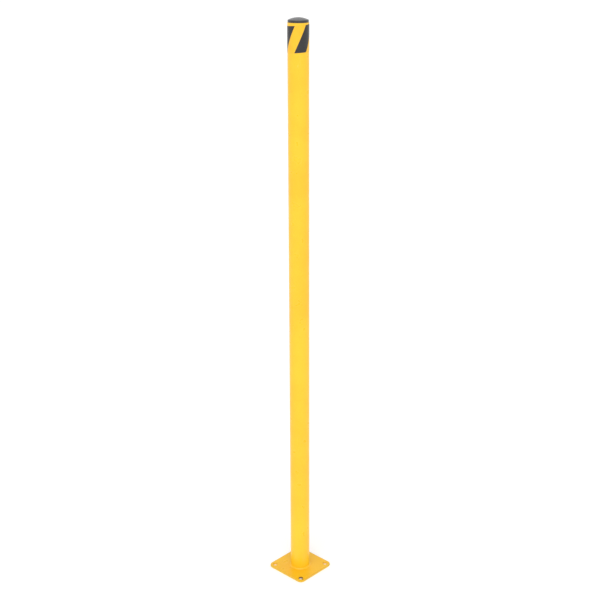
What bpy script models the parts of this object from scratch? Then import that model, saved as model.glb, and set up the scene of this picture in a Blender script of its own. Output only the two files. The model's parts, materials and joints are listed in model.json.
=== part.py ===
"""Steel safety bollard: a capped round post on a square floor plate, with striped tape wound round its top.

Metres, +Z up. The origin is the middle of the plate's underside, on the floor, and the plate's
sides lie along X and Y. The cap is a push-in plug that lifts straight out along the post's axis.
"""

import math

import bmesh
import bpy

# Overall and clearance
OVERALL_HEIGHT = 1.8288  # floor to the crown of the cap
FIT_GAP = 0.0003  # left between pieces that touch

# Post
POST_DIAMETER = 0.0635
POST_WALL = 0.00305
POST_CUT_BREAK = 0.0005  # chamfer on the sawn top edge, inside and out

# Floor plate
PLATE_SIDE = 0.1524
PLATE_THICKNESS = 0.00635
PLATE_CORNER_RADIUS = 0.015875
PLATE_EDGE_BREAK = 0.0006  # chamfer round both faces
HOLE_DIAMETER = 0.0143
HOLE_INSET = 0.015875  # from each side of the plate to a hole's centre

# Fillet weld round the foot of the post
WELD_LEG = 0.0034  # about the post's wall, as a fillet on thin tube is
WELD_CROWN = 0.0003  # how far the bead bulges past a straight fillet

# Hazard tape
TAPE_WIDTH = 0.0762
TAPE_THICKNESS = 0.0004
TAPE_DROP = 0.0073  # from the post's top down to the tape's upper edge, halfway along the tape
TAPE_RISE = 0.0120  # its climb over one turn, because it was wrapped askew
TAPE_OVERLAP = 0.010  # length of the end that lies on the start
TAPE_RAMP = 0.006  # length over which that end climbs
TAPE_RAMP_LEAD = 0.006  # from the top of the climb to where the start lies
TAPE_MIDDLE_DEG = -45.0  # turn about Z, from +X, of the tape's middle; its seam is opposite

# Cap
CAP_INSET = 0.00095  # how far the cap's rim stays inside the post's outside
CAP_RIM_HEIGHT = 0.0064
CAP_RIM_ROUND = 0.0012
CAP_RIM_ROUND_DEG = 60.0  # how far the rounding turns before it meets the dome
CAP_DOME_RISE = 0.0070
CAP_CEILING_RISE = 0.0056  # the hollow's ceiling is a little flatter than the dome
CAP_SKIN = 0.0028  # least thickness over the hollow
PLUG_LENGTH = 0.0250  # below the post's top
PLUG_WALL = 0.0022  # at the root of the ribs
PLUG_LEAD_IN = 0.0015  # length of the taper at the plug's end
PLUG_LEAD_DEPTH = 0.00075  # and how far it draws in
RIB_CLEARANCE = 0.0003  # between a rib and the post's bore
RIB_COUNT = 3
RIB_DEPTH = 0.0012
RIB_HEIGHT = 0.0018

# Fineness of the round surfaces
TURN_STEPS = 64
CORNER_SEGMENTS = 8
HOLE_SIDES = 32
DOME_POINTS = 7
ROUND_POINTS = 3
WELD_POINTS = 4
TAPE_STEPS = 72
SHARP_ANGLE = math.radians(35)
CHAMFER_ANGLE = math.radians(60)  # edges that turn more than this are chamfered
CUTTER_REACH = 0.005  # how far a hole's cutter sticks out of each face
MERGE_WITHIN = 0.00005

# Worked out from the above
POST_RADIUS = POST_DIAMETER / 2
BORE_RADIUS = POST_RADIUS - POST_WALL
POST_FOOT = PLATE_THICKNESS + FIT_GAP
POST_TOP = OVERALL_HEIGHT - CAP_DOME_RISE - CAP_RIM_HEIGHT - FIT_GAP
HOLE_OFFSET = PLATE_SIDE / 2 - HOLE_INSET

COLOURS = {
    "powder_coat": ((0.930, 0.545, 0.014), 0.38, 0.0),
    "tape_film": ((0.900, 0.500, 0.012), 0.30, 0.0),
    "black_plastic": ((0.035, 0.036, 0.038), 0.45, 0.0),
}


def clear_scene():
    for old in list(bpy.data.objects):
        bpy.data.objects.remove(old, do_unlink=True)


def new_collection(name):
    collection = bpy.data.collections.new(name)
    bpy.context.scene.collection.children.link(collection)
    return collection


def make_material(name, finish):
    """A plain finish: colour, roughness and metallic value."""
    colour, roughness, metallic = COLOURS[finish]
    material = bpy.data.materials.new(name)
    material.use_nodes = True
    shader = material.node_tree.nodes["Principled BSDF"]
    shader.inputs["Base Color"].default_value = (*colour, 1.0)
    shader.inputs["Roughness"].default_value = roughness
    shader.inputs["Metallic"].default_value = metallic
    material.diffuse_color = (*colour, 1.0)
    return material


def new_piece(name, mesh, finish, collection, location=(0.0, 0.0, 0.0)):
    piece = bpy.data.objects.new(name, mesh)
    piece.location = location
    piece.data.materials.append(make_material(name, finish))
    collection.objects.link(piece)
    return piece


def settle(piece):
    """Makes the modifiers' result the piece's own mesh, shaded smooth with its corners kept crisp."""
    bpy.context.view_layer.update()
    graph = bpy.context.evaluated_depsgraph_get()
    mesh = bpy.data.meshes.new_from_object(piece.evaluated_get(graph), depsgraph=graph)
    mesh.name = piece.name
    piece.modifiers.clear()
    piece.data = mesh
    mesh.shade_smooth()
    mesh.set_sharp_from_angle(angle=SHARP_ANGLE)


def turned_piece(name, profile, finish, collection, closed, height=0.0):
    """A profile of (radius, z) points, down its outer side first, turned about Z at the given height."""
    mesh = bpy.data.meshes.new(name)
    count = len(profile)
    edges = [(i, (i + 1) % count) for i in range(count if closed else count - 1)]
    mesh.from_pydata([(radius, 0.0, z) for radius, z in profile], edges, [])
    piece = new_piece(name, mesh, finish, collection, (0.0, 0.0, height))
    turn = piece.modifiers.new("turn", "SCREW")
    turn.axis = "Z"
    turn.steps = TURN_STEPS
    turn.render_steps = TURN_STEPS
    turn.use_merge_vertices = True
    turn.merge_threshold = MERGE_WITHIN
    settle(piece)
    return piece


def arc(centre, radius, start_deg, end_deg, points):
    """Points along an arc in the profile's plane, ends included."""
    angles = [math.radians(start_deg + (end_deg - start_deg) * i / (points - 1)) for i in range(points)]
    return [(centre[0] + radius * math.cos(a), centre[1] + radius * math.sin(a)) for a in angles]


def make_post(collection):
    profile = [
        (POST_RADIUS - POST_CUT_BREAK, POST_TOP),
        (POST_RADIUS, POST_TOP - POST_CUT_BREAK),
        (POST_RADIUS, POST_FOOT),
        (BORE_RADIUS, POST_FOOT),
        (BORE_RADIUS, POST_TOP - POST_CUT_BREAK),
        (BORE_RADIUS + POST_CUT_BREAK, POST_TOP),
    ]
    return turned_piece("post_pipe", profile, "powder_coat", collection, closed=True)


def make_foot_weld(collection):
    """A three-sided ring: up the post, along the plate, and a slightly crowned face between the two toes."""
    inner = POST_RADIUS + FIT_GAP
    bottom = PLATE_THICKNESS + FIT_GAP
    top_toe = (inner, bottom + WELD_LEG)
    low_toe = (inner + WELD_LEG, bottom)
    face = []
    for i in range(WELD_POINTS):
        share = i / (WELD_POINTS - 1)
        bulge = WELD_CROWN * math.sin(math.pi * share) / math.sqrt(2)
        radius = top_toe[0] + (low_toe[0] - top_toe[0]) * share + bulge
        z = top_toe[1] + (low_toe[1] - top_toe[1]) * share + bulge
        face.append((radius, z))
    profile = face + [(inner, bottom)]
    return turned_piece("foot_weld", profile, "powder_coat", collection, closed=True)


def make_hole_cutter(place, cutters):
    mesh = bpy.data.meshes.new("hole_cutter")
    shape = bmesh.new()
    bmesh.ops.create_cone(
        shape,
        cap_ends=True,
        segments=HOLE_SIDES,
        radius1=HOLE_DIAMETER / 2,
        radius2=HOLE_DIAMETER / 2,
        depth=PLATE_THICKNESS + 2 * CUTTER_REACH,
    )
    shape.to_mesh(mesh)
    shape.free()
    cutter = bpy.data.objects.new("hole_cutter", mesh)
    cutter.location = place
    cutter.hide_render = True
    cutter.display_type = "WIRE"
    cutters.objects.link(cutter)


def make_plate(collection, cutters):
    """A square plate with round corners and chamfered edges, and an anchor hole in each corner."""
    mesh = bpy.data.meshes.new("base_plate")
    shape = bmesh.new()
    bmesh.ops.create_cube(shape, size=1.0)
    bmesh.ops.scale(shape, vec=(PLATE_SIDE, PLATE_SIDE, PLATE_THICKNESS), verts=shape.verts)
    bmesh.ops.translate(shape, vec=(0.0, 0.0, PLATE_THICKNESS / 2), verts=shape.verts)
    upright = [e for e in shape.edges if abs(e.verts[0].co.z - e.verts[1].co.z) > PLATE_THICKNESS / 2]
    bmesh.ops.bevel(
        shape,
        geom=upright,
        offset=PLATE_CORNER_RADIUS,
        offset_type="OFFSET",
        segments=CORNER_SEGMENTS,
        profile=0.5,
        affect="EDGES",
    )
    shape.to_mesh(mesh)
    shape.free()
    plate = new_piece("base_plate", mesh, "powder_coat", collection)

    edges = plate.modifiers.new("edge_break", "BEVEL")
    edges.width = PLATE_EDGE_BREAK
    edges.segments = 1
    edges.limit_method = "ANGLE"
    edges.angle_limit = CHAMFER_ANGLE

    for x_side in (-1, 1):
        for y_side in (-1, 1):
            make_hole_cutter((x_side * HOLE_OFFSET, y_side * HOLE_OFFSET, PLATE_THICKNESS / 2), cutters)
    holes = plate.modifiers.new("anchor_holes", "BOOLEAN")
    holes.operation = "DIFFERENCE"
    holes.operand_type = "COLLECTION"
    holes.collection = cutters
    holes.solver = "EXACT"
    settle(plate)
    return plate


def smooth_step(value):
    share = min(max(value, 0.0), 1.0)
    return share * share * (3.0 - 2.0 * share)


def make_tape(collection):
    """A straight strip wound once round the post, a little askew, its end lying on its start."""
    radius = POST_RADIUS + FIT_GAP
    turn_length = 2 * math.pi * radius
    skew = math.atan2(TAPE_RISE, turn_length)
    length = turn_length / math.cos(skew) + TAPE_OVERLAP
    climb_from = length / 2 - TAPE_OVERLAP - TAPE_RAMP_LEAD - TAPE_RAMP
    climb = TAPE_THICKNESS + FIT_GAP
    middle_height = POST_TOP - TAPE_DROP - TAPE_WIDTH / 2 / math.cos(skew)

    mesh = bpy.data.meshes.new("hazard_tape")
    shape = bmesh.new()
    bmesh.ops.create_grid(shape, x_segments=TAPE_STEPS, y_segments=2, size=0.5)
    for vertex in shape.verts:
        along = vertex.co.x * length
        across = vertex.co.y * TAPE_WIDTH
        turned = (along * math.cos(skew) - across * math.sin(skew)) / radius
        angle = math.radians(TAPE_MIDDLE_DEG) + turned
        out = radius + climb * smooth_step((along - climb_from) / TAPE_RAMP)
        height = middle_height + along * math.sin(skew) + across * math.cos(skew)
        vertex.co = (out * math.cos(angle), out * math.sin(angle), height)
    shape.to_mesh(mesh)
    shape.free()
    tape = new_piece("hazard_tape", mesh, "tape_film", collection)

    film = tape.modifiers.new("film", "SOLIDIFY")
    film.thickness = TAPE_THICKNESS
    film.offset = 1.0
    settle(tape)
    return tape


def dome_profile(edge_radius, rise, base, points):
    """The upper side of a shallow round dome, from the axis out to its edge at the base height."""
    sphere = (edge_radius**2 + rise**2) / (2 * rise)
    half_deg = math.degrees(math.asin(edge_radius / sphere))
    return arc((0.0, base + rise - sphere), sphere, 90.0, 90.0 - half_deg, points)


def plug_side(rib_radius, root_radius, first, last):
    """Down the ribbed outside of the plug: evenly spaced rings, each square on top and tapered below."""
    side = []
    pitch = (first - last) / RIB_COUNT
    for i in range(RIB_COUNT):
        top = first - i * pitch
        side += [
            (root_radius, top),
            (root_radius, top - (pitch - RIB_HEIGHT)),
            (rib_radius, top - (pitch - RIB_HEIGHT)),
            (rib_radius, top - pitch + RIB_HEIGHT / 2),
        ]
    return side + [(root_radius, last)]


def make_cap(collection):
    """A hollow push-in cap. Heights here are from the post's top, where the cap's own origin is."""
    rim_radius = POST_RADIUS - CAP_INSET
    rib_radius = BORE_RADIUS - RIB_CLEARANCE
    root_radius = rib_radius - RIB_DEPTH
    hollow_radius = root_radius - PLUG_WALL
    rim_bottom = FIT_GAP
    rim_top = rim_bottom + CAP_RIM_HEIGHT

    profile = dome_profile(rim_radius - CAP_RIM_ROUND, CAP_DOME_RISE, rim_top, DOME_POINTS)
    round_centre = (rim_radius - CAP_RIM_ROUND, rim_top - CAP_RIM_ROUND)
    profile += arc(round_centre, CAP_RIM_ROUND, CAP_RIM_ROUND_DEG, 0.0, ROUND_POINTS)
    profile += [(rim_radius, rim_bottom)]
    profile += plug_side(rib_radius, root_radius, rim_bottom, -PLUG_LENGTH + PLUG_LEAD_IN)
    profile += [(root_radius - PLUG_LEAD_DEPTH, -PLUG_LENGTH), (hollow_radius, -PLUG_LENGTH)]
    ceiling = dome_profile(hollow_radius, CAP_CEILING_RISE, rim_top - CAP_SKIN, DOME_POINTS)
    profile += reversed(ceiling)
    return turned_piece("top_cap", profile, "black_plastic", collection, closed=False, height=POST_TOP)


def main():
    clear_scene()
    bollard = new_collection("steel_safety_bollard")
    cutters = new_collection("cutters")
    base = bpy.data.objects.new("bollard_base", None)
    bollard.objects.link(base)
    pieces = [
        make_plate(bollard, cutters),
        make_post(bollard),
        make_foot_weld(bollard),
        make_tape(bollard),
        make_cap(bollard),
    ]
    for piece in pieces:
        piece.parent = base


main()
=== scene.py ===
import json
import math

import bmesh
import bpy
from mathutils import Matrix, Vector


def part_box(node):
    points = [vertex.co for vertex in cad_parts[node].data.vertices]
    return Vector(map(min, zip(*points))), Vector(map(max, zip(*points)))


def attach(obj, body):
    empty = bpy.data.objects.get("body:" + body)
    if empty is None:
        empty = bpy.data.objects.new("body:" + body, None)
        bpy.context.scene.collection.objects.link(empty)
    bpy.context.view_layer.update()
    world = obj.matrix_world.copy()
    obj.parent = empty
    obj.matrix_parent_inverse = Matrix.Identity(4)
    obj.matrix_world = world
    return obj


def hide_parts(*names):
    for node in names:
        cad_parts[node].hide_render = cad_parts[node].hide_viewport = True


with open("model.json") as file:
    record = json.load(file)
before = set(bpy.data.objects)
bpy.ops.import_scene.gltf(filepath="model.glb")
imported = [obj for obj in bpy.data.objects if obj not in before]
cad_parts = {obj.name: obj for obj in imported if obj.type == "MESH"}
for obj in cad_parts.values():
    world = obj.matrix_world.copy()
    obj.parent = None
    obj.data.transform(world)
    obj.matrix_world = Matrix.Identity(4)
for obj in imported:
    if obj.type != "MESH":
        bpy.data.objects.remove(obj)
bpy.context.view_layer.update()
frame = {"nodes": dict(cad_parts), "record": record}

plateLow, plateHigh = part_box("base_plate")
postLow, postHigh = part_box("post_pipe")
weldLow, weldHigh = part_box("foot_weld")
tapeLow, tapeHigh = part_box("hazard_tape")
capLow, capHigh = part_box("top_cap")
postRadius = postHigh.x
cadGap = 0.0003  # what the CAD leaves between pieces that touch
print("frame loaded:", ", ".join(sorted(frame["nodes"])))


# Small helpers for working the way one does by hand

def startFresh():
    # nothing selected, object mode: operators then act only on what comes next
    if bpy.context.mode != "OBJECT":
        bpy.ops.object.mode_set(mode="OBJECT")
    bpy.ops.object.select_all(action="DESELECT")


def nameIt(name):
    piece = bpy.context.object
    piece.name = name
    piece.data.name = name
    bpy.ops.object.transform_apply(location=True, rotation=True, scale=True)
    return piece


def editing(kind="EDGE"):
    bpy.ops.object.mode_set(mode="EDIT")
    bpy.ops.mesh.select_mode(type=kind)
    bpy.ops.mesh.select_all(action="DESELECT")


def doneEditing():
    bpy.ops.object.mode_set(mode="OBJECT")


def pickEdges(test):
    # selects the edges whose two ends pass the test
    mesh = bmesh.from_edit_mesh(bpy.context.object.data)
    for edge in mesh.edges:
        edge.select_set(test(edge.verts[0].co, edge.verts[1].co))
    mesh.select_flush_mode()
    bmesh.update_edit_mesh(bpy.context.object.data)


def pickFaces(test):
    mesh = bmesh.from_edit_mesh(bpy.context.object.data)
    for face in mesh.faces:
        face.select_set(test(face.calc_center_median(), face.normal))
    mesh.select_flush_mode()
    bmesh.update_edit_mesh(bpy.context.object.data)


def pickVerts(test):
    mesh = bmesh.from_edit_mesh(bpy.context.object.data)
    for vert in mesh.verts:
        vert.select_set(test(vert.co))
    mesh.select_flush_mode()
    bmesh.update_edit_mesh(bpy.context.object.data)


def near(a, b, within=0.00003):
    return abs(a - b) < within


def applyModifier(piece, kind, **settings):
    modifier = piece.modifiers.new(kind.lower(), kind)
    for key, value in settings.items():
        setattr(modifier, key, value)
    bpy.context.view_layer.objects.active = piece
    bpy.ops.object.modifier_apply(modifier=modifier.name)


def followProfile(points):
    # carries the selected disc from ring to ring: extrude upright, then resize about the axis
    for (radius, height), (nextRadius, nextHeight) in zip(points, points[1:]):
        bpy.ops.mesh.extrude_region_move(TRANSFORM_OT_translate={"value": (0, 0, nextHeight - height)})
        share = nextRadius / radius
        bpy.ops.transform.resize(value=(share, share, 1), center_override=(0, 0, 0))


def quarterArc(radius, height, reach, rise, steps):
    # points that turn from flat to upright, or back, without the first one
    turns = [math.radians(90 * i / steps) for i in range(1, steps + 1)]
    return [(radius + reach * math.sin(t), height + rise * (1 - math.cos(t))) for t in turns]


def finishSurface(piece, sharpDeg=40):
    # smooth shading with crisp corners, flat faces kept flat
    startFresh()
    piece.select_set(True)
    bpy.context.view_layer.objects.active = piece
    bpy.ops.object.shade_smooth_by_angle(angle=math.radians(sharpDeg))
    applyModifier(piece, "WEIGHTED_NORMAL", keep_sharp=True, weight=50)


def place(piece, body, node):
    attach(piece, body)
    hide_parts(node)


# Materials: every pattern is laid out in metres on the piece's own coordinates

def startMaterial(name):
    material = bpy.data.materials.new(name)
    material.use_nodes = True
    return material, material.node_tree, material.node_tree.nodes["Principled BSDF"]


def addNode(tree, kind, **settings):
    node = tree.nodes.new("ShaderNode" + kind)
    for key, value in settings.items():
        setattr(node, key, value)
    return node


def plug(tree, source, socket):
    # a number or colour is set on the socket, anything else is wired to it
    if isinstance(source, (int, float, tuple)):
        socket.default_value = source
    else:
        tree.links.new(source, socket)


def maths(tree, operation, a, b=0.0, clamp=False):
    node = addNode(tree, "Math", operation=operation, use_clamp=clamp)
    plug(tree, a, node.inputs[0])
    plug(tree, b, node.inputs[1])
    return node.outputs[0]


def vectors(tree, operation, a, b=(0.0, 0.0, 0.0)):
    node = addNode(tree, "VectorMath", operation=operation)
    plug(tree, a, node.inputs[0])
    plug(tree, b, node.inputs[1])
    return node.outputs["Value"] if operation == "LENGTH" else node.outputs[0]


def splitXyz(tree, vector):
    node = addNode(tree, "SeparateXYZ")
    plug(tree, vector, node.inputs[0])
    return node.outputs


def joinXyz(tree, x, y, z):
    node = addNode(tree, "CombineXYZ")
    for value, socket in zip((x, y, z), node.inputs):
        plug(tree, value, socket)
    return node.outputs[0]


def noise(tree, where, scale, detail=2.0, roughness=0.5):
    node = addNode(tree, "TexNoise")
    plug(tree, where, node.inputs["Vector"])
    node.inputs["Scale"].default_value = scale
    node.inputs["Detail"].default_value = detail
    node.inputs["Roughness"].default_value = roughness
    return node.outputs["Fac"]


def fade(tree, value, low, high, toLow=0.0, toHigh=1.0):
    node = addNode(tree, "MapRange", interpolation_type="SMOOTHSTEP")
    plug(tree, value, node.inputs["Value"])
    for key, number in (("From Min", low), ("From Max", high), ("To Min", toLow), ("To Max", toHigh)):
        node.inputs[key].default_value = number
    return node.outputs[0]


def blend(tree, share, first, second):
    node = addNode(tree, "Mix", data_type="RGBA")
    plug(tree, share, node.inputs["Factor"])
    plug(tree, first, node.inputs[6])
    plug(tree, second, node.inputs[7])
    return node.outputs[2]


def bump(tree, height, distance, strength=1.0, under=None):
    node = addNode(tree, "Bump")
    node.inputs["Strength"].default_value = strength
    node.inputs["Distance"].default_value = distance
    plug(tree, height, node.inputs["Height"])
    if under is not None:
        plug(tree, under, node.inputs["Normal"])
    return node.outputs[0]


def objectPlace(tree):
    return addNode(tree, "TexCoord").outputs["Object"]


def hairlines(tree, where, stretch, width, patchScale):
    # thin wandering lines where a stretched noise crosses its middle, kept to patches
    grain = noise(tree, vectors(tree, "MULTIPLY", where, stretch), 1.0, 1.0)
    off = maths(tree, "ABSOLUTE", maths(tree, "SUBTRACT", grain, 0.5))
    line = fade(tree, off, width * 0.3, width, 1.0, 0.0)
    patch = fade(tree, noise(tree, where, patchScale, 2.0), 0.58, 0.70)
    return maths(tree, "MULTIPLY", line, patch)


def specks(tree, where, size, share):
    # scattered round dots: share is how many of the cells hold one
    cells = addNode(tree, "TexVoronoi", feature="F1")
    plug(tree, where, cells.inputs["Vector"])
    cells.inputs["Scale"].default_value = 1 / size
    dot = fade(tree, cells.outputs["Distance"], 0.10, 0.22, 1.0, 0.0)
    chance = splitXyz(tree, cells.outputs["Color"])[0]
    return maths(tree, "MULTIPLY", dot, maths(tree, "LESS_THAN", chance, share))


powderCoat = {
    "colour": (0.930, 0.545, 0.014, 1.0),
    "deepColour": (0.905, 0.500, 0.010, 1.0),  # where the coat lies thicker
    "edgeColour": (0.500, 0.330, 0.045, 1.0),  # where it pulled thin over an edge; also used for the plate's darker sheared sides, partly painted shade, and for the darker band under the cap's rim
    "chipColour": (0.075, 0.070, 0.065, 1.0),  # dark steel under a chip
    "holeShadeColour": (0.260, 0.125, 0.012, 1.0),  # painted shade: the dark brown of one anchor hole's wall in shadow, also laid on a dark patch beside it
    "scuffColour": (0.960, 0.700, 0.230, 1.0),
    "speckColour": (0.300, 0.170, 0.020, 1.0),
    "roughness": (0.27, 0.40),
    "glossScale": 30.0,
    "broadScale": 9.0,
    "peelSize": 0.0030,  # orange peel
    "peelDepth": 0.00022,
    "grainSize": 0.0006,
    "grainDepth": 0.000012,
    "speckSize": 0.0045,
    "speckShare": 0.012,
    "scuffWidth": 0.004,
    "scuffPatches": 7.0,  # per metre
    "raggedScale": 420.0,  # how finely thin coat and chips break up
    "cutShare": 0.75,  # a sheared face beside a sharp edge, coloured darker: partly thin coat, partly painted shade
    "chipDepth": 0.00007,
    "dragRun": (900.0, 900.0, 60.0),  # shear marks: fine across, long upright
    "dragDepth": 0.00010,
}


def makePowderCoat(name, scuffRun, edgeMask, cutMask=None, holeShadeMask=None):
    # scuffRun is the way scuffs run: small numbers along them, large ones across
    # edgeMask gives 1 on a sharp edge and 0 away from it, cutMask 1 on a sheared face,
    # and holeShadeMask 1 where shade is painted into one anchor hole's wall, and on a dark patch beside it
    facts = powderCoat
    material, tree, shader = startMaterial(name)
    here = objectPlace(tree)
    broad = noise(tree, here, facts["broadScale"], 3.0)
    peel = noise(tree, here, 1 / facts["peelSize"], 1.5)
    grain = noise(tree, here, 1 / facts["grainSize"], 1.0)
    thick = maths(tree, "ADD", maths(tree, "MULTIPLY", broad, 0.7), maths(tree, "MULTIPLY", peel, 0.3))
    colour = blend(tree, fade(tree, thick, 0.38, 0.62), facts["colour"], facts["deepColour"])
    dots = specks(tree, here, facts["speckSize"], facts["speckShare"])
    colour = blend(tree, maths(tree, "MULTIPLY", dots, 0.5), colour, facts["speckColour"])
    scuffs = hairlines(tree, here, scuffRun, facts["scuffWidth"], facts["scuffPatches"])
    colour = blend(tree, maths(tree, "MULTIPLY", scuffs, 0.45), colour, facts["scuffColour"])

    edge = edgeMask(tree, here)
    ragged = noise(tree, here, facts["raggedScale"], 4.0, 0.6)
    # on the plate's sheared sides this darkening is partly painted shade
    if cutMask is not None:
        edge = maths(tree, "MAXIMUM", edge, maths(tree, "MULTIPLY", cutMask(tree, here), facts["cutShare"]))
    thinCoatAndShade = maths(tree, "MULTIPLY", edge, fade(tree, ragged, 0.25, 0.65, 0.45, 1.0), clamp=True)
    colour = blend(tree, maths(tree, "MULTIPLY", thinCoatAndShade, 0.62), colour, facts["edgeColour"])
    chips = maths(tree, "MULTIPLY", fade(tree, edge, 0.6, 0.95), fade(tree, ragged, 0.665, 0.685), clamp=True)
    colour = blend(tree, chips, colour, facts["chipColour"])
    # painted shade: one anchor hole's wall darkened as if in shadow, and a dark patch beside it
    if holeShadeMask is not None:
        colour = blend(tree, holeShadeMask(tree, here), colour, facts["holeShadeColour"])
    plug(tree, colour, shader.inputs["Base Color"])

    gloss = fade(tree, noise(tree, here, facts["glossScale"], 3.0), 0.3, 0.7, *facts["roughness"])
    gloss = maths(tree, "ADD", gloss, maths(tree, "MULTIPLY", maths(tree, "MAXIMUM", scuffs, chips), 0.25))
    plug(tree, gloss, shader.inputs["Roughness"])

    surface = bump(tree, peel, facts["peelDepth"])
    surface = bump(tree, grain, facts["grainDepth"], 1.0, surface)
    if cutMask is not None:
        drag = noise(tree, vectors(tree, "MULTIPLY", here, facts["dragRun"]), 1.0, 2.0)
        drag = maths(tree, "MULTIPLY", drag, cutMask(tree, here))
        surface = bump(tree, drag, facts["dragDepth"], 0.8, surface)
    surface = bump(tree, maths(tree, "SUBTRACT", 1.0, chips), facts["chipDepth"], 0.8, surface)
    plug(tree, surface, shader.inputs["Normal"])
    return material


# Floor plate

plateFacts = {
    "side": plateHigh.x - plateLow.x,
    "thickness": plateHigh.z - plateLow.z,
    "cornerRadius": 0.015875,
    "cornerSegments": 24,
    "topRound": 0.0009,  # cut edges, softened by blasting and paint
    "underRound": 0.0005,
    "holeSides": 72,
    "rimRound": 0.0005,
    "cutterClear": 0.00003,  # keeps the cutter's rings off the plate's faces
    "cutterPast": 0.002,  # how far the cutter sticks out of the plate
    "edgeFade": (0.0004, 0.0024),  # where the coat thickens again, from a sharp edge inwards
    "cutFade": (0.0001, 0.0005),
    "wallFade": (-0.0003, 0.0001),
    # where the painted shade in one hole's wall fades out, and the dark patch beside it
    "wallRagged": 0.0012,
    "darkPatchFade": (0.0040, 0.0078),
    "darkPatchRagged": 0.0050,
    "scuffRun": (190.0, 24.0, 190.0),
}
holeFacts = next(m["dims"] for m in frame["record"]["mounts"] if m["name"] == "anchor_bolts")
holeOffset = holeFacts["spacing_x_mm"] / 2000
holeRadius = holeFacts["hole_r_mm"] / 1000
# the hole whose wall gets painted shade, and the middle of the dark patch beside it
plateFacts["hookHole"] = (holeOffset, -holeOffset)
plateFacts["hookRub"] = (holeOffset + 0.0095, -holeOffset - 0.0018)


def holePlaces():
    return [(x * holeOffset, y * holeOffset) for x in (-1, 1) for y in (-1, 1)]


def cutHole(plate, x, y):
    # the cutter is a spool, wider at both faces, so the hole comes out with eased rims
    facts = plateFacts
    ease, past = facts["rimRound"], facts["cutterPast"]
    top, under = plateHigh.z + facts["cutterClear"], plateLow.z - facts["cutterClear"]
    wide = holeRadius + ease
    startFresh()
    bpy.ops.mesh.primitive_circle_add(
        vertices=facts["holeSides"], radius=wide, fill_type="NGON", location=(0, 0, top + past)
    )
    cutter = nameIt("holeCutter")
    editing("FACE")
    bpy.ops.mesh.select_all(action="SELECT")
    spool = [(wide, top + past), (wide, top)] + quarterArc(wide, top, -ease, -ease, 3)
    spool += [(radius, under + top - height) for radius, height in reversed(spool)]
    followProfile(spool)
    bpy.ops.mesh.select_all(action="SELECT")
    bpy.ops.mesh.normals_make_consistent(inside=False)
    doneEditing()
    cutter.location = (x, y, 0)
    bpy.ops.object.transform_apply(location=True, rotation=False, scale=False)
    applyModifier(plate, "BOOLEAN", operation="DIFFERENCE", object=cutter, solver="EXACT")
    bpy.data.objects.remove(cutter, do_unlink=True)


def makeFloorPlate():
    facts = plateFacts
    startFresh()
    middle = (plateLow + plateHigh) / 2
    size = (facts["side"], facts["side"], facts["thickness"])
    bpy.ops.mesh.primitive_cube_add(size=1, location=middle, scale=size)
    plate = nameIt("floorPlate")

    editing()
    pickEdges(lambda a, b: not near(a.z, b.z))
    bpy.ops.mesh.bevel(offset=facts["cornerRadius"], segments=facts["cornerSegments"], profile=0.5)
    for z, width in ((plateHigh.z, facts["topRound"]), (plateLow.z, facts["underRound"])):
        bpy.ops.mesh.select_all(action="DESELECT")
        pickEdges(lambda a, b, z=z: near(a.z, z) and near(b.z, z))
        bpy.ops.mesh.bevel(offset=width, segments=3, profile=0.5)
    doneEditing()
    for x, y in holePlaces():
        cutHole(plate, x, y)
    finishSurface(plate)
    return plate


def outlineGap(tree, here):
    # how far inside the plate's outline a place is
    half, radius = plateFacts["side"] / 2, plateFacts["cornerRadius"]
    x, y = splitXyz(tree, vectors(tree, "ABSOLUTE", here))[:2]
    corner = vectors(tree, "SUBTRACT", joinXyz(tree, x, y, 0.0), (half - radius, half - radius, 0.0))
    outside = vectors(tree, "LENGTH", vectors(tree, "MAXIMUM", corner))
    return maths(tree, "SUBTRACT", radius, outside)


def reachFrom(tree, here, spot):
    # distance in plan from an upright line
    x, y = splitXyz(tree, here)[:2]
    return vectors(tree, "LENGTH", vectors(tree, "SUBTRACT", joinXyz(tree, x, y, 0.0), (*spot, 0.0)))


def holeGap(tree, here):
    # how far outside the nearest anchor hole's wall a place is
    reach = reachFrom(tree, vectors(tree, "ABSOLUTE", here), (holeOffset, holeOffset))
    return maths(tree, "SUBTRACT", reach, holeRadius)


def plateEdgeMask(tree, here):
    # the plate's outline and the holes' rims, top and bottom
    z = splitXyz(tree, here)[2]
    inward = maths(tree, "MINIMUM", outlineGap(tree, here), holeGap(tree, here))
    down = maths(tree, "MINIMUM", z, maths(tree, "SUBTRACT", plateHigh.z, z))
    level = maths(tree, "MAXIMUM", inward, 0.0)
    depth = maths(tree, "MAXIMUM", down, 0.0)
    away = vectors(tree, "LENGTH", joinXyz(tree, level, depth, 0.0))
    return fade(tree, away, *plateFacts["edgeFade"], 1.0, 0.0)


def plateCutMask(tree, here):
    # the sheared sides, just inside the outline, coloured darker: partly thin coat, partly painted shade
    return fade(tree, outlineGap(tree, here), *plateFacts["cutFade"], 1.0, 0.0)


def plateHoleShadeMask(tree, here):
    # painted shade: this hole's wall is coloured dark brown as if in shadow,
    # and a dark patch is laid on the plate beside its rim
    facts = plateFacts
    gap = maths(tree, "SUBTRACT", reachFrom(tree, here, facts["hookHole"]), holeRadius)
    uneven = maths(tree, "MULTIPLY", noise(tree, here, 260.0, 3.0), facts["wallRagged"])
    wall = fade(tree, maths(tree, "SUBTRACT", gap, uneven), *facts["wallFade"], 1.0, 0.0)
    blotch = noise(tree, here, powderCoat["raggedScale"], 4.0, 0.6)
    blotch = maths(tree, "MULTIPLY", blotch, facts["darkPatchRagged"])
    darkPatch = maths(tree, "ADD", reachFrom(tree, here, facts["hookRub"]), blotch)
    darkPatch = fade(tree, darkPatch, *facts["darkPatchFade"], 0.75, 0.0)
    return maths(tree, "MAXIMUM", wall, darkPatch)


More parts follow.
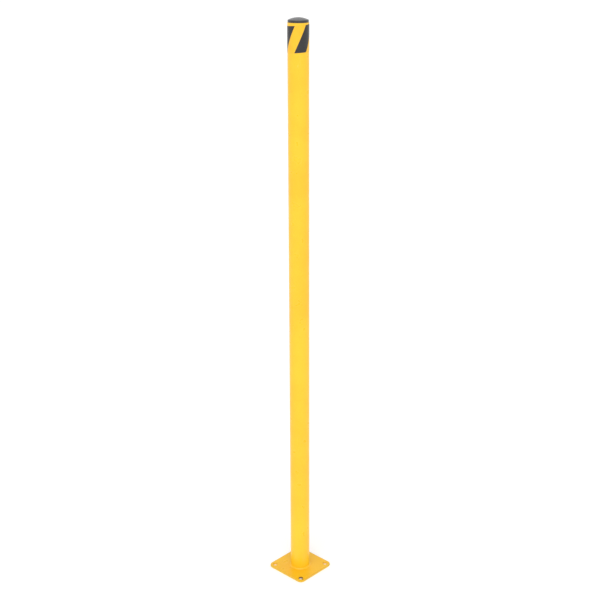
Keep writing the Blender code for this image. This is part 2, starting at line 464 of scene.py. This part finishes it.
floorPlate = makeFloorPlate()
plateCoat = makePowderCoat(
    "plateYellowPowderCoat", plateFacts["scuffRun"], plateEdgeMask, plateCutMask, plateHoleShadeMask
)
floorPlate.data.materials.append(plateCoat)
place(floorPlate, "post", "base_plate")
print("floor plate made:", len(floorPlate.data.polygons), "faces")


# Post

postFacts = {
    "wall": postRadius - min(math.hypot(v.co.x, v.co.y) for v in frame["nodes"]["post_pipe"].data.vertices),
    "sides": 160,
    "bandHeight": 0.12,  # one ring of faces this tall, for even triangles
    "mouthRound": 0.0006,
    "mouthBand": (0.0004, 0.0018),  # a band below the mouth, just under the cap's rim, coloured darker
    "oversprayDepth": 0.030,  # how far paint dusted into the bore
    "oversprayRagged": 0.020,
    "steelDark": (0.16, 0.155, 0.15, 1.0),
    "steelPale": (0.30, 0.29, 0.28, 1.0),
    "rustColour": (0.16, 0.085, 0.045, 1.0),
    "steelRoughness": (0.38, 0.60),
    "drawRun": (260.0, 260.0, 14.0),  # drawing marks: fine across, long upright
    "drawDepth": 0.00004,
    "scuffRun": (55.0, 55.0, 5.0),
}
boreRadius = postRadius - postFacts["wall"]


def makePostTube():
    facts = postFacts
    startFresh()
    foot = plateHigh.z  # the tube's end sits on the plate, inside the weld
    bpy.ops.mesh.primitive_cylinder_add(
        vertices=facts["sides"],
        radius=postRadius,
        depth=postHigh.z - foot,
        end_fill_type="NOTHING",
        location=(0, 0, (postHigh.z + foot) / 2),
    )
    tube = nameIt("postTube")
    editing()
    for i in range(1, int((postHigh.z - foot) / facts["bandHeight"]) + 1):
        bpy.ops.mesh.select_all(action="SELECT")
        bpy.ops.mesh.bisect(plane_co=(0, 0, foot + i * facts["bandHeight"]), plane_no=(0, 0, 1))
    doneEditing()
    applyModifier(tube, "SOLIDIFY", thickness=facts["wall"], offset=-1.0)
    editing()
    pickEdges(lambda a, b: near(a.z, postHigh.z) and near(b.z, postHigh.z)
              and near(math.hypot(a.x, a.y), math.hypot(b.x, b.y)))
    bpy.ops.mesh.bevel(offset=facts["mouthRound"], segments=2, profile=0.5)
    doneEditing()
    finishSurface(tube)
    return tube


def postEdgeMask(tree, here):
    # the tube's sawn mouth, with a darker band just under the cap's rim
    full, none = postFacts["mouthBand"]
    return fade(tree, splitXyz(tree, here)[2], postHigh.z - none, postHigh.z - full)


def makeBoreSteel():
    # bare drawn steel, dusted with yellow near the mouth
    facts = postFacts
    material, tree, shader = startMaterial("drawnSteelBore")
    here = objectPlace(tree)
    z = splitXyz(tree, here)[2]
    streaks = noise(tree, vectors(tree, "MULTIPLY", here, facts["drawRun"]), 1.0, 3.0)
    blotch = noise(tree, here, 45.0, 4.0)
    steel = blend(tree, streaks, facts["steelDark"], facts["steelPale"])
    steel = blend(tree, fade(tree, blotch, 0.55, 0.75), steel, facts["rustColour"])
    dust = maths(tree, "MULTIPLY", noise(tree, here, 60.0, 3.0), facts["oversprayRagged"])
    dust = maths(tree, "ADD", z, dust)
    top = postHigh.z + facts["oversprayRagged"] / 2
    dust = fade(tree, dust, top - facts["oversprayDepth"], top)
    plug(tree, blend(tree, dust, steel, powderCoat["deepColour"]), shader.inputs["Base Color"])
    plug(tree, fade(tree, dust, 0.0, 1.0, 0.85, 0.0), shader.inputs["Metallic"])
    plug(tree, fade(tree, streaks, 0.2, 0.8, *facts["steelRoughness"]), shader.inputs["Roughness"])
    plug(tree, bump(tree, streaks, facts["drawDepth"]), shader.inputs["Normal"])
    return material


def paintInside(tube):
    # the bore's faces look at the axis
    for face in tube.data.polygons:
        inward = face.normal.x * face.center.x + face.normal.y * face.center.y < 0
        if inward and math.hypot(face.center.x, face.center.y) < boreRadius + 0.0001:
            face.material_index = 1


postTube = makePostTube()
postCoat = makePowderCoat("postYellowPowderCoat", postFacts["scuffRun"], postEdgeMask)
postTube.data.materials.append(postCoat)
postTube.data.materials.append(makeBoreSteel())
paintInside(postTube)
place(postTube, "post", "post_pipe")
print("post tube made:", len(postTube.data.polygons), "faces")


# Weld bead round the foot

weldFacts = {
    "leg": weldHigh.x - postRadius - cadGap,
    "root": 0.0004,  # how deep the bead bites into the tube and the plate
    "steps": 420,
    "faceSegments": 8,
    "ripples": 84,  # one every 2.5 mm or so
    "rippleHeight": 0.00040,
    "rippleShare": 0.45,  # of the height; the rest is slow wander and the closing lump
    "wanderShare": 0.20,
    "lumpShare": 0.35,
    "rippleLag": 0.9,  # how far the middle of a ripple trails its toes, in ripples
    "closeDeg": 118.0,  # where the bead ends on its own start
    "closeLength": 0.009,
    "toeHeight": 0.0005,  # above the plate, where the coat is thin
    "scuffRun": (90.0, 90.0, 90.0),
}


def makeWeldBead():
    facts = weldFacts
    startFresh()
    inner = postRadius - facts["root"]
    bottom = plateHigh.z - facts["root"]
    reach = facts["leg"] + facts["root"]
    bpy.ops.mesh.primitive_plane_add(
        size=reach, location=(inner + reach / 2, 0, bottom + reach / 2), rotation=(math.radians(90), 0, 0)
    )
    bead = nameIt("weldBead")
    editing("VERT")
    pickVerts(lambda p: p.x > inner + reach / 2 and p.z > bottom + reach / 2)
    bpy.ops.mesh.bevel(
        offset=facts["leg"],
        segments=facts["faceSegments"],
        profile=0.30,
        affect="VERTICES",
        offset_type="OFFSET",
    )
    bpy.ops.mesh.select_all(action="SELECT")
    bpy.ops.mesh.delete(type="ONLY_FACE")
    bpy.ops.mesh.select_all(action="SELECT")
    bpy.ops.mesh.spin(
        steps=facts["steps"], angle=2 * math.pi, center=(0, 0, 0), axis=(0, 0, 1), use_auto_merge=True
    )
    bpy.ops.mesh.select_all(action="SELECT")
    bpy.ops.mesh.remove_doubles(threshold=0.00001)
    bpy.ops.mesh.normals_make_consistent(inside=False)
    doneEditing()

    ripples = bead.vertex_groups.new(name="ripples")
    for vert in bead.data.vertices:
        across = math.hypot(vert.co.x, vert.co.y) - postRadius
        up = vert.co.z - plateHigh.z
        if across < -0.0001 or up < -0.0001:
            continue
        share = math.atan2(up, across) / (math.pi / 2)
        swell = max(math.sin(math.pi * share), 0.0)
        turn = math.atan2(vert.co.y, vert.co.x) / (2 * math.pi) * facts["ripples"]
        wave = 0.5 + 0.5 * math.cos(2 * math.pi * (turn - facts["rippleLag"] * swell))
        wander = 0.5 + 0.5 * math.sin(turn * 0.45) * math.sin(turn * 0.17 + 1.0)
        fromClose = math.atan2(vert.co.y, vert.co.x) - math.radians(facts["closeDeg"])
        lump = math.exp(-((fromClose * postRadius / facts["closeLength"]) ** 2))
        height = facts["rippleShare"] * wave + facts["wanderShare"] * wander + facts["lumpShare"] * lump
        ripples.add([vert.index], swell**0.5 * height, "REPLACE")
    applyModifier(
        bead,
        "DISPLACE",
        strength=facts["rippleHeight"],
        mid_level=0.0,
        vertex_group="ripples",
        direction="NORMAL",
    )
    finishSurface(bead, 60)
    return bead


def weldEdgeMask(tree, here):
    # the bead has no sharp edge of its own, only its toe on the plate
    z = splitXyz(tree, here)[2]
    return fade(tree, z, plateHigh.z, plateHigh.z + weldFacts["toeHeight"], 0.5, 0.0)


weldBead = makeWeldBead()
weldCoat = makePowderCoat("weldYellowPowderCoat", weldFacts["scuffRun"], weldEdgeMask)
weldBead.data.materials.append(weldCoat)
place(weldBead, "post", "foot_weld")
print("weld bead made:", len(weldBead.data.polygons), "faces")


# Hazard tape, wound once and lapped at the back

tapeFacts = {
    "width": 0.0762,
    "rise": 0.0120,
    "overlap": 0.010,
    "film": 0.00022,
    "offPost": 0.00006,
    "lapGap": 0.00004,
    "liftSteps": 4,  # columns over which the lapping end climbs
    "middleDeg": -45.0,
    "columns": 260,
    "rows": 12,
    "stripePeriod": 0.0697,
    "blackWidth": 0.0365,
    "stripeSlant": math.tan(math.radians(27.8)),
    "blackStart": -0.0152,
    "inkRagged": 0.00018,
    "inkSoft": 0.0002,  # width over which a bar's edge fades
    "beadScale": 2600.0,
    "yellowDeep": (0.860, 0.455, 0.006, 1.0),
    "yellowPale": (0.930, 0.530, 0.012, 1.0),
    "yellowDull": (0.880, 0.440, 0.006, 1.0),
    "blackDeep": (0.010, 0.010, 0.011, 1.0),
    "blackPale": (0.026, 0.026, 0.027, 1.0),
    "grimeColour": (0.260, 0.180, 0.080, 1.0),
    "grimeReach": (0.0002, 0.0016),  # in from the film's long edges
    "blisterSize": 0.011,
    "blisterShare": 0.10,
    "blisterDepth": 0.00022,
    "beadDepth": 0.000015,
    "waveScale": 110.0,
    "waveDepth": 0.00016,
    "cloudScale": 26.0,
    "glossScale": 60.0,
    "roughness": (0.30, 0.44),
}


def makeHazardTape():
    facts = tapeFacts
    radius = postRadius + facts["offPost"]
    around = 2 * math.pi * radius
    skew = math.atan2(facts["rise"], around)
    length = around / math.cos(skew) + facts["overlap"]
    facts["length"] = length
    startFresh()
    bpy.ops.mesh.primitive_grid_add(x_subdivisions=facts["columns"], y_subdivisions=facts["rows"], size=1)
    bpy.ops.transform.resize(value=(length, facts["width"], 1))
    tape = nameIt("hazardTape")
    # lift the end that laps over the start, while the strip is flat
    lift = facts["film"] + facts["lapGap"]
    pitch = length / facts["columns"]
    steps = facts["liftSteps"]
    editing("VERT")
    for i in range(steps):
        liftFrom = length / 2 - facts["overlap"] - (steps + 1 - i) * pitch
        bpy.ops.mesh.select_all(action="DESELECT")
        pickVerts(lambda p, liftFrom=liftFrom: p.x > liftFrom)
        bpy.ops.transform.translate(value=(0, 0, lift / steps))
    doneEditing()
    # tilt it to its skew and stand it up against the front of the post
    tape.rotation_euler = (0, 0, skew)
    bpy.ops.object.transform_apply(location=False, rotation=True, scale=False)
    tape.rotation_euler = (math.radians(90), 0, 0)
    bpy.ops.object.transform_apply(location=False, rotation=True, scale=False)
    span = max(v.co.x for v in tape.data.vertices) - min(v.co.x for v in tape.data.vertices)
    applyModifier(tape, "SIMPLE_DEFORM", deform_method="BEND", deform_axis="Z", angle=span / radius)
    tape.location = (0, -radius, 0)
    bpy.ops.object.transform_apply(location=True, rotation=False, scale=False)
    tape.rotation_euler = (0, 0, math.radians(facts["middleDeg"] + 90))
    tape.location = (0, 0, (tapeLow.z + tapeHigh.z) / 2)
    bpy.ops.object.transform_apply(location=True, rotation=True, scale=False)
    applyModifier(tape, "SOLIDIFY", thickness=facts["film"], offset=1.0)
    finishSurface(tape)
    return tape


def makeStripedFilm():
    # glass-bead film, yellow with slanted black bars, laid out in metres along and across the strip
    facts = tapeFacts
    material, tree, shader = startMaterial("stripedBeadFilm")
    uv = addNode(tree, "UVMap", uv_map="UVMap").outputs[0]
    centred = vectors(tree, "SUBTRACT", uv, (0.5, 0.0, 0.0))
    flat = vectors(tree, "MULTIPLY", centred, (facts["length"], facts["width"], 0.0))
    x, y = splitXyz(tree, flat)[:2]

    ragged = maths(tree, "MULTIPLY", noise(tree, flat, 1800.0, 2.0), facts["inkRagged"])
    slant = maths(tree, "SUBTRACT", x, maths(tree, "MULTIPLY", y, facts["stripeSlant"]))
    slant = maths(tree, "ADD", slant, ragged)
    phase = maths(tree, "DIVIDE", maths(tree, "SUBTRACT", slant, facts["blackStart"]), facts["stripePeriod"])
    phase = maths(tree, "FRACT", maths(tree, "ADD", phase, 10.0))
    duty = facts["blackWidth"] / facts["stripePeriod"]
    soft = facts["inkSoft"] / facts["stripePeriod"]
    entering = fade(tree, phase, 0.0, 2 * soft)
    leaving = fade(tree, phase, duty - soft, duty + soft, 1.0, 0.0)
    ink = maths(tree, "MULTIPLY", entering, leaving)

    beads = noise(tree, flat, facts["beadScale"], 1.0)
    cloud = noise(tree, flat, facts["cloudScale"], 3.0)
    beadShare = fade(tree, beads, 0.35, 0.65)
    yellow = blend(tree, beadShare, facts["yellowDeep"], facts["yellowPale"])
    yellow = blend(tree, fade(tree, cloud, 0.45, 0.75), yellow, facts["yellowDull"])
    black = blend(tree, beadShare, facts["blackDeep"], facts["blackPale"])
    colour = blend(tree, ink, yellow, black)
    fromEdge = maths(tree, "MINIMUM", y, maths(tree, "SUBTRACT", facts["width"], y))
    grime = maths(tree, "MULTIPLY", fade(tree, fromEdge, *facts["grimeReach"], 1.0, 0.0), cloud)
    colour = blend(tree, maths(tree, "MULTIPLY", grime, 0.35), colour, facts["grimeColour"])
    plug(tree, colour, shader.inputs["Base Color"])

    gloss = fade(tree, noise(tree, flat, facts["glossScale"], 3.0), 0.3, 0.7, *facts["roughness"])
    plug(tree, gloss, shader.inputs["Roughness"])
    blisters = specks(tree, flat, facts["blisterSize"], facts["blisterShare"])  # air trapped under the film
    surface = bump(tree, beads, facts["beadDepth"])
    surface = bump(tree, noise(tree, flat, facts["waveScale"], 2.0), facts["waveDepth"], 0.6, surface)
    surface = bump(tree, blisters, facts["blisterDepth"], 0.6, surface)
    plug(tree, surface, shader.inputs["Normal"])
    return material


hazardTape = makeHazardTape()
hazardTape.data.materials.append(makeStripedFilm())
place(hazardTape, "post", "hazard_tape")
print("hazard tape made:", len(hazardTape.data.polygons), "faces")


# Push-in cap

capFacts = {
    "sides": 144,
    "rimRadius": capHigh.x,
    "rimHeight": 0.0064,
    "edgeRound": 0.0014,
    "lipRound": 0.0004,
    "seat": 0.00004,  # gap between the rim and the tube's end
    "domeRings": 10,
    "gateRadius": 0.0032,  # the shallow moulding gate at the crown
    "gateDepth": 0.00030,
    "gatePip": (0.34, 0.26, 0.8),  # foot and top of its stub, and its height, as shares of the gate
    "ribRadius": boreRadius - cadGap,
    "rootRadius": boreRadius - 0.0015,
    "hollowRadius": boreRadius - 0.0037,
    "ribs": 3,
    "ribHeight": 0.0018,
    "leadIn": 0.0015,
    "skin": 0.0028,
    "ceilingCorner": 0.002,
    "plugRound": 0.0005,
    "blackDeep": (0.016, 0.016, 0.018, 1.0),
    "blackPale": (0.024, 0.024, 0.026, 1.0),
    # painted sheen: the lighter grey laid over the dome's top
    "sheenDeep": (0.125, 0.125, 0.128, 1.0),
    "sheenPale": (0.160, 0.160, 0.163, 1.0),
    "grainColour": (0.12, 0.12, 0.12, 1.0),
    "markColour": (0.20, 0.20, 0.20, 1.0),
    "grainScale": 2400.0,
    "grainDepth": 0.00002,
    "broadScale": 55.0,
    "markRun": (70.0, 260.0, 70.0),
    "roughness": (0.22, 0.32),
}


def domeHeight(radius, edgeRadius, rise):
    sphere = (edgeRadius**2 + rise**2) / (2 * rise)
    return math.sqrt(sphere**2 - radius**2) - (sphere - rise)


def domeRings(edgeRadius, lastRadius, rise, base, count):
    # rings that close up towards the crown, the edge included
    first = math.acos(lastRadius / edgeRadius)
    radii = [edgeRadius * math.cos(first * i / count) for i in range(count + 1)]
    return [(radius, base + domeHeight(radius, edgeRadius, rise)) for radius in radii]


def ringEdges(radius, height):
    # picks the ring of edges at one radius and height
    pickEdges(
        lambda a, b: all(near(math.hypot(p.x, p.y), radius, 0.00008) and near(p.z, height) for p in (a, b))
    )


def makeDomeCap():
    facts = capFacts
    startFresh()
    seat = postHigh.z + facts["seat"]
    shoulder = seat + facts["rimHeight"]
    rim = facts["rimRadius"]
    rise = capHigh.z - shoulder
    bpy.ops.mesh.primitive_cylinder_add(
        vertices=facts["sides"], radius=rim, depth=facts["rimHeight"], location=(0, 0, (seat + shoulder) / 2)
    )
    cap = nameIt("domeCap")

    editing("FACE")
    pickFaces(lambda middle, normal: normal.z > 0.9)
    gate = facts["gateRadius"]
    dome = domeRings(rim, gate, rise, shoulder, facts["domeRings"])
    gateFloor = dome[-1][1] - facts["gateDepth"]
    foot, tip, stub = facts["gatePip"]
    dome += [(gate * 0.9, gateFloor), (gate * foot, gateFloor)]
    dome += [(gate * tip, gateFloor + facts["gateDepth"] * stub)]
    followProfile(dome)
    bpy.ops.mesh.poke()

    # the plug: down from the rim's underside in ribs, then back up inside to the ceiling
    bpy.ops.mesh.select_all(action="DESELECT")
    pickFaces(lambda middle, normal: normal.z < -0.9)
    root, rib, hollow = facts["rootRadius"], facts["ribRadius"], facts["hollowRadius"]
    plugEnd = capLow.z
    pitch = (seat - plugEnd - facts["leadIn"]) / facts["ribs"]
    plugSide = [(rim, seat), (root, seat)]
    for i in range(facts["ribs"]):
        under = seat - (i + 1) * pitch
        plugSide += [
            (root, under + facts["ribHeight"]),
            (rib, under + facts["ribHeight"]),
            (rib, under + facts["ribHeight"] / 2),
            (root, under),
        ]
    plugSide += [(root - facts["leadIn"] / 2, plugEnd), (hollow, plugEnd)]
    corner = facts["ceilingCorner"]
    ceiling = shoulder - facts["skin"]
    plugSide += [(hollow, ceiling - corner)]
    for turn in (0.5, 1.0):
        plugSide += [(hollow - corner * (1 - math.cos(turn)), ceiling - corner * (1 - math.sin(turn)))]
    plugSide += domeRings(hollow - corner, corner, rise - facts["skin"] / 2, ceiling, 4)
    followProfile(plugSide)
    bpy.ops.mesh.poke()
    doneEditing()

    editing()
    for radius, height, width, segments in (
        (rim, shoulder, facts["edgeRound"], 4),
        (rim, seat, facts["lipRound"], 2),
        (hollow, plugEnd, facts["plugRound"], 2),
    ):
        bpy.ops.mesh.select_all(action="DESELECT")
        ringEdges(radius, height)
        bpy.ops.mesh.bevel(offset=width, segments=segments, profile=0.5)
    bpy.ops.mesh.select_all(action="SELECT")
    bpy.ops.mesh.normals_make_consistent(inside=False)
    doneEditing()
    finishSurface(cap, 35)
    return cap


def makeMouldedBlack():
    # fine spark-eroded grain; the dome is painted greyer, a painted sheen standing for the bright
    # surroundings it reflects
    facts = capFacts
    material, tree, shader = startMaterial("mouldedBlackPolymer")
    here = objectPlace(tree)
    z = splitXyz(tree, here)[2]
    broad = noise(tree, here, facts["broadScale"], 3.0)
    grain = noise(tree, here, facts["grainScale"], 1.0)
    black = blend(tree, fade(tree, broad, 0.35, 0.7), facts["blackDeep"], facts["blackPale"])
    grey = blend(tree, fade(tree, broad, 0.30, 0.75), facts["sheenDeep"], facts["sheenPale"])
    shoulder = postHigh.z + facts["seat"] + facts["rimHeight"]
    uneven = maths(tree, "ADD", z, maths(tree, "MULTIPLY", broad, 0.0012))
    # painted sheen on the dome's top
    paintedSheen = fade(tree, uneven, shoulder - 0.0002, shoulder + 0.0022)
    # the painted sheen lies only on the outer skin: the hollow's ceiling lies a skin lower than the dome
    share = maths(tree, "DIVIDE", reachFrom(tree, here, (0.0, 0.0)), facts["rimRadius"])
    drop = maths(tree, "MULTIPLY", maths(tree, "MULTIPLY", share, share), capHigh.z - shoulder)
    depth = maths(tree, "SUBTRACT", capHigh.z, maths(tree, "ADD", z, drop))
    outer = fade(tree, depth, facts["skin"] * 0.35, facts["skin"] * 0.65, 1.0, 0.0)
    colour = blend(tree, maths(tree, "MULTIPLY", paintedSheen, outer), black, grey)
    pale = maths(tree, "MULTIPLY", fade(tree, grain, 0.4, 0.7), 0.25)
    colour = blend(tree, pale, colour, facts["grainColour"])
    marks = hairlines(tree, here, facts["markRun"], 0.010, 60.0)
    colour = blend(tree, maths(tree, "MULTIPLY", marks, 0.35), colour, facts["markColour"])
    plug(tree, colour, shader.inputs["Base Color"])
    plug(tree, fade(tree, broad, 0.3, 0.7, *facts["roughness"]), shader.inputs["Roughness"])
    plug(tree, bump(tree, grain, facts["grainDepth"], 0.8), shader.inputs["Normal"])
    return material


domeCap = makeDomeCap()
domeCap.data.materials.append(makeMouldedBlack())
place(domeCap, "cap", "top_cap")
print("dome cap made:", len(domeCap.data.polygons), "faces")


# Studio: a pale floor, soft light all round, and the camera

studioFacts = {
    "floorSize": 160.0,
    "floorColour": (0.90, 0.90, 0.90, 1.0),
    "floorGlow": 0.18,  # lit from below a little, as a paper sweep on a light table
    "skyLow": 1.03,  # strength at the horizon
    "skyHigh": 0.70,  # and overhead
    "keyStrength": 1.25,
    "keySpreadDeg": 60.0,
    "keyHeightDeg": 40.0,
    "keyTurnDeg": 38.0,  # from the same side as the camera
}
cameraFacts = {
    "azimuthDeg": 43.60,
    "distance": 3.2213,
    "height": 2.1354,
    "tiltDeg": 19.924,
    "turnDeg": -0.044,
    "rollDeg": -0.192,
    "lens": 65.69,
    "sensor": 36.0,
}


def makeFloor():
    startFresh()
    bpy.ops.mesh.primitive_plane_add(size=studioFacts["floorSize"], location=(0, 0, plateLow.z))
    floor = nameIt("studioFloor")
    material, tree, shader = startMaterial("palePaperFloor")
    plug(tree, studioFacts["floorColour"], shader.inputs["Base Color"])
    shader.inputs["Roughness"].default_value = 0.9
    shader.inputs["Specular IOR Level"].default_value = 0.1
    shader.inputs["Emission Color"].default_value = (1.0, 1.0, 1.0, 1.0)
    shader.inputs["Emission Strength"].default_value = studioFacts["floorGlow"]
    floor.data.materials.append(material)


def makeLight():
    facts = studioFacts
    world = bpy.data.worlds.new("softSky")
    bpy.context.scene.world = world
    world.use_nodes = True
    sky = world.node_tree.nodes["Background"]
    sky.inputs["Color"].default_value = (1.0, 1.0, 1.0, 1.0)
    direction = addNode(world.node_tree, "TexCoord").outputs["Generated"]
    up = splitXyz(world.node_tree, direction)[2]
    strength = fade(world.node_tree, up, 0.05, 0.75, facts["skyLow"], facts["skyHigh"])
    plug(world.node_tree, strength, sky.inputs["Strength"])
    startFresh()
    bpy.ops.object.light_add(type="SUN", location=(0, 0, 4))
    key = bpy.context.object
    key.name = "wideKeyLight"
    key.data.energy = facts["keyStrength"]
    key.data.angle = math.radians(facts["keySpreadDeg"])
    key.rotation_euler = (math.radians(90 - facts["keyHeightDeg"]), 0, math.radians(facts["keyTurnDeg"]))


def makeCamera():
    facts = cameraFacts
    startFresh()
    turn = math.radians(facts["azimuthDeg"])
    spot = (math.sin(turn) * facts["distance"], -math.cos(turn) * facts["distance"], facts["height"])
    bpy.ops.object.camera_add(location=spot)
    camera = bpy.context.object
    camera.name = "studioCamera"
    camera.data.lens = facts["lens"]
    camera.data.sensor_width = facts["sensor"]
    camera.data.clip_end = 200.0
    heading = facts["azimuthDeg"] + facts["turnDeg"]
    camera.rotation_euler = (math.radians(90 - facts["tiltDeg"]), 0, math.radians(heading))
    camera.rotation_euler.rotate_axis("Z", math.radians(facts["rollDeg"]))
    bpy.context.scene.camera = camera


makeFloor()
makeLight()
makeCamera()
bpy.context.scene.view_settings.view_transform = "Standard"
print("studio made")
